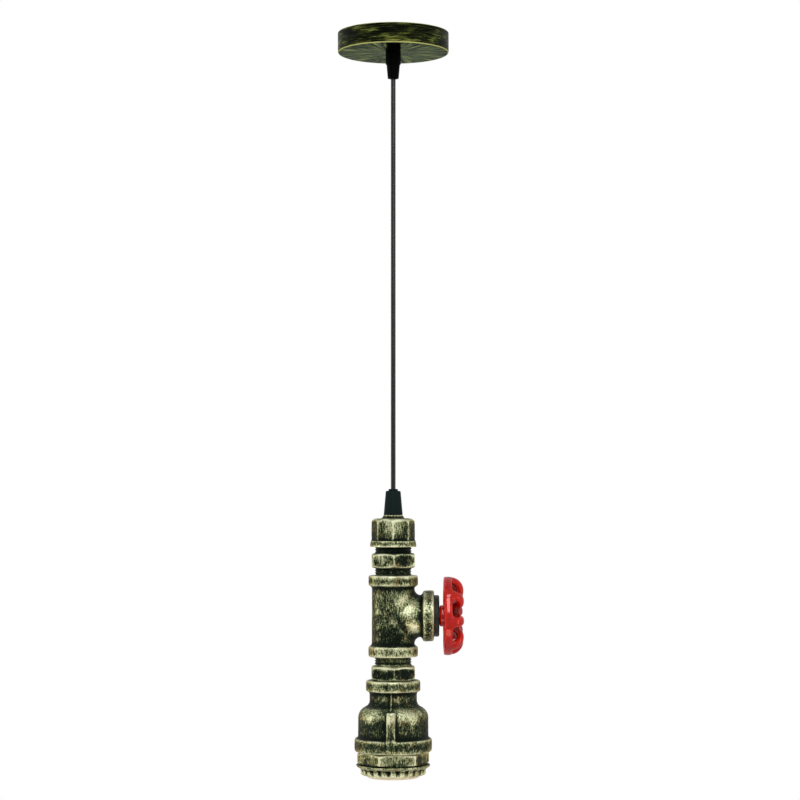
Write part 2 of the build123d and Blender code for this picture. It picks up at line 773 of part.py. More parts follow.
def make_reducer():
    """Bell-shaped reducer: two beads, a neck, a rounded shoulder, and ribs down its body."""
    low = reducer_low_z
    neck, wide = reducer_neck_diameter / 2, reducer_body_diameter / 2
    small, large = small_bead_diameter / 2, large_bead_diameter / 2
    neck_top = reducer_top_z - small_bead_height
    shoulder_top = neck_top - reducer_neck_height
    shoulder_low = shoulder_top - reducer_shoulder_height
    bead_top = low + large_bead_height
    outline = [
        Line((0, low), (large - large_bead_edge, low)),
        RadiusArc((large - large_bead_edge, low), (large, low + large_bead_edge), -large_bead_edge),
        Line((large, low + large_bead_edge), (large, bead_top - bead_edge)),
        RadiusArc((large, bead_top - bead_edge), (large - bead_edge, bead_top), -bead_edge),
        Line((large - bead_edge, bead_top), (wide, bead_top + bead_edge)),
        Line((wide, bead_top + bead_edge), (wide, shoulder_low)),
        *shoulder_curve((neck, shoulder_top), (wide, shoulder_low)),
        Line((neck, shoulder_top), (neck, neck_top)),
        Line((neck, neck_top), (small, neck_top + bead_edge)),
        Line((small, neck_top + bead_edge), (small, reducer_top_z - bead_edge)),
        Line((small, reducer_top_z - bead_edge), (small - bead_edge, reducer_top_z)),
        Line((small - bead_edge, reducer_top_z), (0, reducer_top_z)),
        Line((0, reducer_top_z), (0, low)),
    ]
    body = turned(*outline)
    rib_top = shoulder_top - reducer_shoulder_height * rib_start_share
    rib_out, over_bead = wide + rib_height, large + rib_over_bead
    rib_low = low + large_bead_edge
    rib = turned_points(
        (neck, rib_low), (large, rib_low), (over_bead, rib_low + bead_edge), (over_bead, bead_top),
        (rib_out, bead_top + rib_height), (rib_out, shoulder_low), (wide, rib_top), (neck, rib_top)
    )
    slab = Box(large_bead_diameter, rib_width, reducer_height, align=(Align.MIN, Align.CENTER, Align.MIN))
    for place in ring_of(0, rib_count, rib_turn - 90):
        body += rib & Pos(0, 0, low) * place * slab
    thread = thread_diameter / 2 + fit_gap
    large_thread = bushing_thread_diameter / 2 + fit_gap
    cavity = reducer_cavity_diameter / 2
    cavity_low = low + large_thread_depth
    cavity_top = shoulder_low
    body -= turned_points(
        (0, low - overrun), (large_thread, low - overrun), (large_thread, cavity_low), (cavity, cavity_low),
        (cavity, cavity_top), (thread, reducer_top_z - small_thread_depth), (thread, reducer_top_z + overrun),
        (0, reducer_top_z + overrun)
    )
    return body


def make_bushing():
    """Hex bushing: a male thread up into the reducer, a hexagon, and a spigot for the fluted ring."""
    top = reducer_low_z + bushing_thread_length
    thread, bore = bushing_thread_diameter / 2, bushing_bore_diameter / 2
    spigot = bushing_spigot_diameter / 2
    body = hexagon(bushing_hex_width, ring_top_z, reducer_low_z, bushing_hex_turn, bushing_chamfer_angle)
    body += turned_points(
        (0, flange_top_z), (spigot, flange_top_z), (spigot, ring_top_z), (spigot, reducer_low_z),
        (thread, reducer_low_z), (thread, top - nipple_edge), (thread - nipple_edge, top), (0, top)
    )
    return body - rod(2 * bore, flange_top_z - overrun, top + overrun)


def make_ring():
    """Fluted ring: a thin lip, a short cone, and a band with upright flutes."""
    lip, band = ring_lip_diameter / 2, ring_band_diameter / 2
    bore, seat = ring_bore_diameter / 2, bushing_spigot_diameter / 2 + fit_gap
    low = ring_top_z - ring_height
    lip_z = ring_top_z - ring_lip_height
    body = turned_points(
        (seat, ring_top_z), (lip, ring_top_z), (lip, lip_z), (band, lip_z - ring_cone_height),
        (band, low + ring_edge), (band - ring_edge, low), (bore, low),
        (bore, ring_top_z - ring_seat_depth), (seat, ring_top_z - ring_seat_depth)
    )
    flute = Cylinder(flute_radius, lip_z - ring_cone_height / 2 - low + overrun,
                     align=(Align.CENTER, Align.CENTER, Align.MIN))
    for place in ring_of(band + flute_radius - flute_depth, flute_count):
        body -= Pos(0, 0, low - overrun) * place * flute
    return body


def make_holder():
    """Porcelain lampholder body with its lamp well, contact recess and two rivet holes."""
    rim, flange = holder_rim_diameter / 2, holder_flange_diameter / 2
    waist, top = holder_waist_diameter / 2, holder_top_diameter / 2
    flange_z = holder_rim_height
    waist_z = flange_z + holder_flange_height
    step_z = waist_z + holder_waist_height
    well = well_diameter / 2
    body = turned_points(
        (0, 0), (rim - holder_edge, 0), (rim, holder_edge), (rim, flange_z),
        (flange, flange_z), (flange, waist_z), (waist, waist_z), (waist, step_z),
        (top, step_z + waist - top), (top, holder_height - holder_edge),
        (top - holder_edge, holder_height), (0, holder_height)
    )
    body -= turned_points(
        (0, -overrun), (well + well_flare, -overrun), (well + well_flare, 0), (well, 2 * well_flare),
        (well, well_depth), (0, well_depth)
    )
    recess_start = -terminal_offset - rivet_head_diameter / 2 - fit_gap
    recess = Box(2 * contact_reach - recess_start, contact_recess_width, contact_recess_depth,
                 align=(Align.MIN, Align.CENTER, Align.MIN))
    body -= Pos(recess_start, 0, well_depth) * recess
    rivet_hole = rod(rivet_diameter + 2 * fit_gap, well_depth, holder_height + overrun)
    for side in (-1, 1):
        body -= Pos(side * terminal_offset, 0, 0) * rivet_hole
    return Pos(0, 0, holder_low_z) * body


def make_shell():
    """Brass screw shell of the lampholder: a neck above its wall, and a web that the neutral rivet holds."""
    outer, bore = shell_bore_diameter / 2 + shell_wall, shell_bore_diameter / 2
    web, neck = shell_web_bore_diameter / 2, shell_neck_diameter / 2
    top = well_depth - fit_gap
    body = turned_points(
        (bore, holder_rim_height), (outer, holder_rim_height), (outer, top), (web, top),
        (web, top - shell_wall), (neck, top - shell_wall), (neck, top - shell_neck_height),
        (bore, top - shell_neck_height)
    )
    rivet_hole = rod(rivet_diameter + 2 * fit_gap, well_depth - overrun, well_depth + overrun)
    body -= Pos(terminal_offset, 0, 0) * rivet_hole
    return Pos(0, 0, holder_low_z) * body


def make_contact():
    """Springy centre contact: a riveted foot, a slope, and a turned tip in the middle of the well."""
    top = well_depth + contact_recess_depth
    foot_start = -terminal_offset - rivet_head_diameter / 2
    foot_end = -terminal_offset + rivet_head_diameter / 2 + contact_thickness
    tip_z = top - contact_tip_drop
    middle = [(foot_start, top - contact_thickness / 2), (foot_end, top - contact_thickness / 2),
              (-contact_reach, tip_z), (contact_reach / 2, tip_z), (contact_reach, tip_z + contact_thickness)]
    low = [(x, z - contact_thickness / 2) for x, z in middle]
    high = [(x, z + contact_thickness / 2) for x, z in middle]
    side_view = Plane.XZ * make_face(Polyline(*low, *reversed(high), close=True))
    strip = extrude(side_view, contact_width / 2, both=True)
    strip -= Pos(-terminal_offset, 0, 0) * rod(rivet_diameter + 2 * fit_gap, well_depth, holder_height)
    return Pos(0, 0, holder_low_z) * strip


def make_terminal(side, clamped_z, clamped_thickness):
    """Brass terminal: a square post on top of the porcelain, riveted through to what it feeds."""
    low = clamped_z - clamped_thickness - fit_gap
    body = Pos(0, 0, holder_height) * Box(
        terminal_size, terminal_size, terminal_size, align=(Align.CENTER, Align.CENTER, Align.MIN)
    )
    body += rod(rivet_diameter, low, holder_height)
    body += rod(rivet_head_diameter, low - rivet_head_height, low)
    top = holder_height + terminal_size
    body -= rod(core_diameter + 2 * fit_gap, top - core_entry_depth, top + overrun)
    screw_hole = Rot(0, 90, 0) * rod(terminal_screw_diameter + 2 * fit_gap, 0, terminal_size)
    body -= Rot(0, 0, 90 - side * 90) * Pos(0, 0, top - core_entry_depth / 2) * screw_hole
    return Pos(side * terminal_offset, 0, holder_low_z) * body


def make_terminal_screws():
    screw = cross_screw(
        terminal_screw_diameter, terminal_size / 2 - core_diameter / 2 - fit_gap,
        terminal_screw_head_diameter, terminal_screw_head_height
    )
    height = holder_top_z + terminal_size - core_entry_depth / 2
    right = Pos(terminal_offset + terminal_size / 2, 0, height) * Rot(0, 90, 0) * screw
    return [right, mirror(right, Plane.YZ)]


def make_lower_core(side):
    """One insulated core, from the sheath's end out to its terminal."""
    top = holder_top_z + terminal_size
    return wire(core_diameter, [
        (side * core_spacing / 2, 0, lower_sheath_end_z),
        (side * core_spacing / 2, 0, lower_sheath_end_z - 2 * core_diameter),
        (side * terminal_offset, 0, top + 2 * core_diameter),
        (side * terminal_offset, 0, top - core_entry_depth + fit_gap),
    ])


strip_clamp = (well_depth + contact_recess_depth, contact_thickness)
web_clamp = (well_depth - fit_gap, shell_wall)

nodes = {
    "ceiling_bracket": make_bracket(),
    "canopy_cup": make_cup(),
    "canopy_grip_body": make_upper_grip_body(),
    "canopy_grip_cone": make_upper_cone(),
    "canopy_grip_sleeve": make_upper_sleeve(),
    "canopy_washer": make_upper_washer(),
    "canopy_lock_nut": make_upper_nut(),
    "terminal_block": make_block(),
    "terminal_block_tubes": make_block_tubes(),
    "terminal_block_screws": make_block_screws(),
    "canopy_cord_end": make_upper_cord(),
    "canopy_live_core": make_upper_core(-1),
    "canopy_neutral_core": make_upper_core(1),
    "cord_bend": make_cord_ball(),
    "cord": make_cord(),
    "pipe_grip_collet": make_collet(),
    "pipe_grip_cone": make_lower_cone(),
    "pipe_grip_body": make_lower_grip_body(),
    "pipe_washer": make_lower_washer(),
    "pipe_lock_nut": make_lower_nut(),
    "cord_in_pipe": make_inner_cord(),
    "live_core": make_lower_core(-1),
    "neutral_core": make_lower_core(1),
    "pipe_cap": make_cap(),
    "upper_nipple": make_nipple(upper_hex_z, upper_hex_turn),
    "tee": make_tee(),
    "lower_nipple": make_nipple(lower_hex_z, lower_hex_turn),
    "bell_reducer": make_reducer(),
    "hex_bushing": make_bushing(),
    "fluted_ring": make_ring(),
    "lampholder_body": make_holder(),
    "lampholder_shell": make_shell(),
    "centre_contact": make_contact(),
    "live_terminal": make_terminal(-1, *strip_clamp),
    "neutral_terminal": make_terminal(1, *web_clamp),
    "terminal_screws": make_terminal_screws(),
    "branch_plug": make_plug(),
    "valve_stem": make_stem(),
    "stem_washer": make_stem_washer(),
    "stem_nut": make_stem_nut(),
    "handwheel": make_handwheel(),
    "handwheel_screw": make_wheel_screw(),
}

os.makedirs("parts", exist_ok=True)
for name, shape in nodes.items():
    solids = shape if isinstance(shape, list) else [shape]
    found = [solid for piece in solids for solid in piece.solids()]
    export_step(Compound(children=found) if len(found) > 1 else found[0], f"parts/{name}.step")
print("mouth", mouth_z, "cord end", cord_end_z, "branch", branch_z, "holder low", holder_low_z)
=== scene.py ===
"""Looks of the pipe-fitting pendant light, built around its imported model."""

import math
from itertools import product

import bpy
import numpy as np
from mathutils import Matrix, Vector


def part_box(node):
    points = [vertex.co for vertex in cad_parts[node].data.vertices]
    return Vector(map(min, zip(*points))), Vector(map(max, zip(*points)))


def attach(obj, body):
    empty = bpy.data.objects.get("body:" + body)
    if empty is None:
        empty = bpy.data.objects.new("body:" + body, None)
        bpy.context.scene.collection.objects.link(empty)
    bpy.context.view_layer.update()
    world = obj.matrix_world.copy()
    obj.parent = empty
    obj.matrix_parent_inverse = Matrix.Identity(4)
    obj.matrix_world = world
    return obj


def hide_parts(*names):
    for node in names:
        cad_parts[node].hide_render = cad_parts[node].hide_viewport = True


mm = 0.001

# Camera
photo_width = 800
view_depth = 60.0
camera_place = (0.0061, -2.0091, -0.4172)
camera_pitch = 1.43
camera_shift = 0.05
focal_pixels = 2236.9
sensor_width = 36.0

# Studio
floor_z = -2.4
floor_radius = 8.0
floor_steps = 96
floor_shade = 0.86
floor_mottle = 0.02
floor_mottle_size = 900.0
floor_lift = 0.6
room_strength = 0.34
backdrop_strength = 1.0
pipe_middle = (0.0, 0.0, -0.55)
lamp_middle = (0.0, 0.0, -0.4)

# Each lamp's name, place, target, size in metres, power in watts and colour
studio_lamps = (
    ("front_strip", (0.12, -1.3, 0.5), (0.02, 0.0, -0.55), (0.22, 1.6), 14.0, (1.0, 1.0, 1.0)),
    ("left_strip", (-1.9, -0.15, -0.35), lamp_middle, (0.2, 1.6), 11.0, (1.0, 0.94, 0.74)),
    ("right_strip", (1.7, -0.7, -0.35), lamp_middle, (0.25, 1.5), 5.5, (1.0, 0.92, 0.7)),
    ("warm_bounce", (0.1, -1.1, -1.7), pipe_middle, (0.8, 0.6), 7.0, (1.0, 0.74, 0.52)),
)

# Castings
weld_distance = 0.002 * mm
cast_voxel = 0.42 * mm
cast_smooth_passes = 5
coarse_voxel = 0.5 * mm
wheel_voxel = 0.45 * mm
wheel_smooth_passes = 9
wheel_fillet = 3.4 * mm
smoothing_share = 0.6
cast_fillet = 0.9 * mm
fine_relief_passes = 10
broad_relief_passes = 90
fine_relief_size = 0.11 * mm
broad_relief_size = 0.8 * mm
grain_size = 1.1 * mm
grain_height = 0.06 * mm
pit_size = 2.3 * mm
pit_height = 0.10 * mm
wave_size = 9.0 * mm
wave_height = 0.16 * mm

# More or less gold in smears on the castings, as (place in mm, reach in mm, weight); besides gilding they are
# painted highlights and painted shade, set where the fronts of the fittings catch or miss the light
gilt_and_painted_light_smears = (
    ((0, -21, -444), 15, 0.42),
    ((-11, -19, -472), 10, 0.35),
    ((10, -20, -470), 14, -0.3),
    ((13, -17, -514), 15, 0.62),
    ((18, -16, -535), 11, 0.62),
    ((31, -17, -519), 10, 0.3),
    ((-14.5, -14, -507), 5, 0.3),
    ((-14.5, -14, -520), 5, 0.3),
    ((-14.5, -14, -533), 5, 0.3),
    ((-2, -20, -543), 15, -0.3),
    ((-8, -19, -571), 8, 0.5),
    ((13, -30, -611), 18, 0.34),
    ((-22, -24, -610), 14, 0.3),
    ((-2, -36, -613), 8, 0.4),
    ((-9, -22, -595), 6, 0.4),
    ((4, -22, -598), 6, 0.35),
    ((27, -20, -650), 10, -0.45),
    ((-28, -18, -650), 10, -0.15),
)

# More or less gold in belts round the lamp, as (middle height in mm, half height in mm, weight); besides
# gilding they are painted highlights and painted shade in bands by height
gilt_and_painted_light_belts = (
    (-487.5, 4.0, 0.12),
    (-555.7, 4.0, 0.12),
    (-563.1, 3.0, 0.3),
    (-569.3, 1.8, 0.5),
    (-576.5, 4.5, -0.3),
    (-599.0, 6.0, 0.02),
    (-627.0, 8.0, -0.12),
    (-641.0, 4.5, -0.05),
    (-649.5, 4.5, 0.22),
    (-657.3, 1.8, -0.45),
    (-662.5, 4.0, 0.36),
)

# Parting seam on the reducer's neck
seam_top_z = -591.5 * mm
seam_low_z = -609.0 * mm
seam_turn = 4.5
seam_height = 0.7 * mm
seam_half_width = 0.8 * mm
seam_fade = 2.0 * mm

# Pipe thread
nipple_hexagon_half = 6.4 * mm
pipe_thread_radius = 16.6 * mm
pipe_thread_skin = 0.5 * mm
pipe_thread_pitch = 2.31 * mm
pipe_thread_depth = 1.15 * mm
pipe_thread_fade = 0.7 * mm
thread_dirt = -0.3

# Canopy
cup_radius = 50.0 * mm
cup_height = 18.0 * mm
cup_wall = 1.2 * mm
cup_edge = 1.4 * mm
cup_lip = 0.35 * mm
cup_flat_margin = 3.0 * mm
cup_hole_radius = 5.2 * mm
lathe_steps = 192

# Brass screw shell
shell_bore_radius = 13.35 * mm
shell_outer_radius = 13.85 * mm
shell_sheet = 0.28 * mm
shell_low_z = -663.9 * mm
shell_neck_z = -644.95 * mm
shell_top_z = -643.45 * mm
shell_neck_radius = 12.75 * mm
shell_web_radius = 8.5 * mm
lamp_thread_pitch = 3.63 * mm
shell_thread_rows = 90

# Cord
cord_diameter = 4.3 * mm
cord_length = 370.0 * mm
mouth_z = -41.0 * mm
cord_end_z = mouth_z - cord_length
sheath_top_z = -8.225 * mm
sheath_low_z = -609.3 * mm
ball_half = 1.2 * mm
swing_room = 1.9 * mm
core_diameter = 1.8 * mm
upper_core_route = (
    (1.05, 0, -8.225), (1.05, 0, -3.6), (2.65, 9.25, -3.6), (4.25, 14.9, -12.2), (4.25, 22.1, -12.2)
)
lower_core_route = ((1.05, 0, -609.3), (1.05, 0, -612.9), (10.8, 0, -617.1), (10.8, 0, -623.65))

# Smaller parts
small_bevel = 0.2 * mm
cone_bevel = 0.35 * mm
porcelain_bevel = 0.5 * mm
bevel_angle = 40.0
nylon_depth = 2.0 * mm
# Heights over which the grip plastic turns from painted shade above to painted light below
shade_to_light_grip_heights = (-350.0, -300.0)


def linear(code):
    """A colour written as six hexadecimal digits, as the shader wants it."""
    parts = [int(code[i:i + 2], 16) / 255 for i in (0, 2, 4)]
    return (*[p / 12.92 if p <= 0.04045 else ((p + 0.055) / 1.055) ** 2.4 for p in parts], 1.0)


# Mesh helpers


def link(obj):
    bpy.context.scene.collection.objects.link(obj)
    return obj


def points_of(mesh):
    points = np.zeros(len(mesh.vertices) * 3, np.float32)
    mesh.vertices.foreach_get("co", points)
    return points.reshape(-1, 3).astype(float)


def set_points(mesh, points):
    mesh.vertices.foreach_set("co", points.astype(np.float32).ravel())
    mesh.update()


def normals_of(mesh):
    normals = np.zeros(len(mesh.vertices) * 3, np.float32)
    mesh.vertex_normals.foreach_get("vector", normals)
    return normals.reshape(-1, 3).astype(float)


def edges_of(mesh):
    edges = np.zeros(len(mesh.edges) * 2, np.int32)
    mesh.edges.foreach_get("vertices", edges)
    return edges.reshape(-1, 2)


def relaxed(points, edges, passes):
    """The points after each has moved towards the mean of its neighbours, so many times."""
    count = len(points)
    degree = np.bincount(edges.ravel(), minlength=count).astype(float)
    degree[degree == 0] = 1
    moved = points.copy()
    for _ in range(passes):
        for axis in range(3):
            value = moved[:, axis]
            summed = np.bincount(edges[:, 0], value[edges[:, 1]], count)
            summed += np.bincount(edges[:, 1], value[edges[:, 0]], count)
            moved[:, axis] = value + smoothing_share * (summed / degree - value)
    return moved


def lattice_value(cells, seed):
    """A repeatable value from -1 to 1 for each whole-numbered cell."""
    mixed = cells[:, 0] * 73856093 ^ cells[:, 1] * 19349663 ^ cells[:, 2] * 83492791 ^ seed * 40503
    mixed = (mixed ^ (mixed >> 13)) * 1274126177 & 0x7FFFFFFF
    return (mixed ^ (mixed >> 16)) % 65536 / 32767.5 - 1


def lattice_noise(points, size, seed):
    """Smooth random values from -1 to 1, with features of the given size."""
    cells = points / size
    low = np.floor(cells).astype(np.int64)
    part = cells - low
    part = part * part * (3 - 2 * part)
    summed = np.zeros(len(points))
    for corner in product((0, 1), repeat=3):
        share = np.prod(np.where(corner, part, 1 - part), axis=1)
        summed += share * lattice_value(low + np.array(corner), seed)
    return summed


def store(mesh, name, values):
    layer = mesh.attributes.new(name, "FLOAT", "POINT")
    layer.data.foreach_set("value", values.astype(np.float32))


def smooth_shaded(mesh):
    mesh.polygons.foreach_set("use_smooth", np.ones(len(mesh.polygons), bool))
    mesh.update()


def copy_of(node, name):
    """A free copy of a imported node, with its seams closed."""
    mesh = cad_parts[node].data.copy()
    mesh.name = name
    mesh.materials.clear()
    obj = link(bpy.data.objects.new(name, mesh))
    weld = obj.modifiers.new("Weld", "WELD")
    weld.merge_threshold = weld_distance
    return baked(obj)


def baked(obj):
    """The object with its modifiers worked into its mesh."""
    view = bpy.context.evaluated_depsgraph_get()
    mesh = bpy.data.meshes.new_from_object(obj.evaluated_get(view), depsgraph=view)
    obj.modifiers.clear()
    old = obj.data
    obj.data = mesh
    mesh.name = obj.name
    bpy.data.meshes.remove(old)
    return obj


def remeshed(obj, voxel, passes):
    modifier = obj.modifiers.new("Voxels", "REMESH")
    modifier.mode = "VOXEL"
    modifier.voxel_size = voxel
    baked(obj)
    set_points(obj.data, relaxed(points_of(obj.data), edges_of(obj.data), passes))
    smooth_shaded(obj.data)
    return obj


def push_out(obj, distance):
    mesh = obj.data
    set_points(mesh, points_of(mesh) + normals_of(mesh) * distance)


def filled_corners(obj, radius, voxel, passes):
    """Rounds the hollow corners of a casting: it is grown, merged and shrunk again."""
    remeshed(obj, coarse_voxel, 1)
    push_out(obj, radius)
    remeshed(obj, coarse_voxel, 3)
    push_out(obj, -radius)
    return remeshed(obj, voxel, passes)


def mark_relief(obj):
    """Stores how far each point stands out of its surroundings, near and wide."""
    mesh = obj.data
    points, edges, normals = points_of(mesh), edges_of(mesh), normals_of(mesh)
    near = relaxed(points, edges, fine_relief_passes)
    wide = relaxed(near, edges, broad_relief_passes)
    fine = np.einsum("ij,ij->i", points - near, normals) / fine_relief_size
    broad = np.einsum("ij,ij->i", near - wide, normals) / broad_relief_size
    store(mesh, "worn", np.clip(fine, -1, 1))
    store(mesh, "raised", np.clip(broad, -1, 1))


def keep_dark(obj, bands):
    """Marks the bare thread of a nipple as sunken, where the brush hardly reaches."""
    mesh = obj.data
    points = points_of(mesh)
    values = np.zeros(len(points), np.float32)
    for name in ("worn", "raised"):
        mesh.attributes[name].data.foreach_get("value", values)
        for low, high in bands:
            values[(points[:, 2] > low) & (points[:, 2] < high)] = thread_dirt
        mesh.attributes[name].data.foreach_set("value", values)


def roughen(obj, strength):
    """Gives a mesh the uneven skin of a sand casting."""
    mesh = obj.data
    points, normals = points_of(mesh), normals_of(mesh)
    grain = grain_height * lattice_noise(points, grain_size, 1)
    pits = -pit_height * np.clip(lattice_noise(points, pit_size, 2) - 0.1, 0, 1)
    waves = wave_height * lattice_noise(points, wave_size, 3)
    lift = strength * (grain + pits + waves)
    set_points(mesh, points + normals * lift[:, None])


def cut_thread(obj, bands):
    """Cuts a pipe thread's ridges into the bare bands of a nipple."""
    mesh = obj.data
    points = points_of(mesh)
    radius = np.hypot(points[:, 0], points[:, 1])
    turn = np.arctan2(points[:, 1], points[:, 0]) / (2 * math.pi)
    phase = np.mod(points[:, 2] / pipe_thread_pitch - turn, 1)
    depth = pipe_thread_depth * (1 - np.abs(2 * phase - 1))
    outside = radius > pipe_thread_radius - pipe_thread_skin
    for low, high in bands:
        inside = np.minimum(points[:, 2] - low, high - points[:, 2]) / pipe_thread_fade
        cut = np.where(outside, depth * np.clip(inside, 0, 1), 0)
        points[:, :2] *= ((radius - cut) / radius)[:, None]
    set_points(mesh, points)


def full_turn(steps):
    """Evenly spaced angles round a circle."""
    return [2 * math.pi * i / steps for i in range(steps)]


def lathe(name, profile, wear=None):
    """A solid of revolution about the lamp's axis, from (radius, height) points."""
    count = len(profile)
    points = [(r * math.cos(a), r * math.sin(a), z) for a in full_turn(lathe_steps) for r, z in profile]
    faces = []
    for i, j in product(range(lathe_steps), range(count)):
        this, after, step = i * count, (i + 1) % lathe_steps * count, (j + 1) % count
        faces.append((this + j, after + j, after + step, this + step))
    mesh = bpy.data.meshes.new(name)
    mesh.from_pydata(points, [], faces)
    mesh.update()
    smooth_shaded(mesh)
    if wear is not None:
        store(mesh, "worn", np.tile(np.array(wear, float), lathe_steps))
    return link(bpy.data.objects.new(name, mesh))


def raise_seam(obj):
    """The thin ridge that a two-part mould leaves, front and back of the reducer's neck."""
    mesh = obj.data
    points, normals = points_of(mesh), normals_of(mesh)
    turn = math.radians(seam_turn)
    aside = points[:, 0] * math.cos(turn) - points[:, 1] * math.sin(turn)
    inside = np.minimum(points[:, 2] - seam_low_z, seam_top_z - points[:, 2]) / seam_fade
    lift = seam_height * np.exp(-((aside / seam_half_width) ** 2)) * np.clip(inside, 0, 1)
    set_points(mesh, points + normals * lift[:, None])


def arc(centre, radius, start, end, steps):
    """Points along part of a circle, from one angle to the other in degrees."""
    angles = [math.radians(start + (end - start) * i / steps) for i in range(steps + 1)]
    return [(centre[0] + radius * math.cos(a), centre[1] + radius * math.sin(a)) for a in angles]


# Node helpers


def new_material(name):
    material = bpy.data.materials.new(name)
    material.use_nodes = True
    tree = material.node_tree
    tree.nodes.clear()
    output = tree.nodes.new("ShaderNodeOutputMaterial")
    shader = tree.nodes.new("ShaderNodeBsdfPrincipled")
    tree.links.new(shader.outputs[0], output.inputs["Surface"])
    return material, tree, shader


def join(tree, source, target):
    """Feeds a socket from another one, or sets it to a constant."""
    if isinstance(source, bpy.types.NodeSocket):
        tree.links.new(source, target)
    else:
        target.default_value = source


def object_place(tree):
    """The point on the object in millimetres, in the lamp's own frame."""
    coordinates = tree.nodes.new("ShaderNodeTexCoord")
    return vector_math(tree, "SCALE", coordinates.outputs["Object"], scale=1 / mm)


def vector_math(tree, operation, first, second=None, scale=None):
    node = tree.nodes.new("ShaderNodeVectorMath")
    node.operation = operation
    join(tree, first, node.inputs[0])
    if second is not None:
        join(tree, second, node.inputs[1])
    if scale is not None:
        node.inputs["Scale"].default_value = scale
    return node.outputs["Value" if operation == "LENGTH" else "Vector"]


def arithmetic(tree, operation, first, second=0.0, third=None):
    node = tree.nodes.new("ShaderNodeMath")
    node.operation = operation
    join(tree, first, node.inputs[0])
    join(tree, second, node.inputs[1])
    if third is not None:
        join(tree, third, node.inputs[2])
    return node.outputs[0]


def coordinate(tree, vector, axis):
    """One coordinate of a vector."""
    node = tree.nodes.new("ShaderNodeSeparateXYZ")
    join(tree, vector, node.inputs[0])
    return node.outputs[axis]


def facing(tree, normal, axis, low, high):
    """How squarely the surface faces along an axis, either way, from 0 to 1."""
    geometry = tree.nodes.new("ShaderNodeNewGeometry")
    along = arithmetic(tree, "ABSOLUTE", coordinate(tree, geometry.outputs[normal], axis))
    return step_range(tree, along, low, high)


def noise(tree, place, size, detail=3.0, roughness=0.55):
    """Noise with features of the given size in millimetres."""
    node = tree.nodes.new("ShaderNodeTexNoise")
    join(tree, place, node.inputs["Vector"])
    node.inputs["Scale"].default_value = 1 / size
    node.inputs["Detail"].default_value = detail
    node.inputs["Roughness"].default_value = roughness
    return node.outputs["Fac"]


def step_range(tree, value, low, high, to_low=0.0, to_high=1.0):
    node = tree.nodes.new("ShaderNodeMapRange")
    node.interpolation_type = "SMOOTHSTEP"
    join(tree, value, node.inputs["Value"])
    for name, number in (("From Min", low), ("From Max", high), ("To Min", to_low), ("To Max", to_high)):
        node.inputs[name].default_value = number
    return node.outputs["Result"]


def ramp(tree, value, stops):
    """Colours along a value, given as (position, colour code)."""
    node = tree.nodes.new("ShaderNodeValToRGB")
    join(tree, value, node.inputs["Fac"])
    elements = node.color_ramp.elements
    while len(elements) < len(stops):
        elements.new(0.5)
    for element, (position, code) in zip(elements, stops):
        element.position = position
        element.color = linear(code)
    return node.outputs["Color"]


def blend_colours(tree, share, first, second):
    node = tree.nodes.new("ShaderNodeMix")
    node.data_type = "RGBA"
    join(tree, share, node.inputs[0])
    join(tree, first, node.inputs[6])
    join(tree, second, node.inputs[7])
    return node.outputs[2]


def attribute(tree, name):
    node = tree.nodes.new("ShaderNodeAttribute")
    node.attribute_type = "GEOMETRY"
    node.attribute_name = name
    return node.outputs["Fac"]


def bump(tree, height, depth):
    """A bump of the given depth in millimetres."""
    node = tree.nodes.new("ShaderNodeBump")
    node.inputs["Strength"].default_value = 1.0
    node.inputs["Distance"].default_value = depth * mm
    join(tree, height, node.inputs["Height"])
    return node.outputs["Normal"]


def total(tree, terms, base=0.0):
    """A weighted sum of sockets, given as (socket, weight)."""
    value = base
    for socket, weight in terms:
        value = arithmetic(tree, "MULTIPLY_ADD", socket, weight, value)
    return value


# Materials


def gilt_and_painted_light_zones(tree, place):
    """How much more or less gold each of the named smears and belts adds: gilding, together with painted
    highlights and painted shade.
    """
    height = coordinate(tree, place, "Z")
    terms = []
    for middle, reach, weight in gilt_and_painted_light_smears:
        away = vector_math(tree, "LENGTH", vector_math(tree, "SUBTRACT", place, middle))
        terms.append((step_range(tree, away, 0.2 * reach, reach, weight, 0.0), 1.0))
    for middle, half, weight in gilt_and_painted_light_belts:
        away = arithmetic(tree, "ABSOLUTE", arithmetic(tree, "SUBTRACT", height, middle))
        terms.append((step_range(tree, away, 0.6 * half, 1.3 * half, weight, 0.0), 1.0))
    return total(tree, terms)


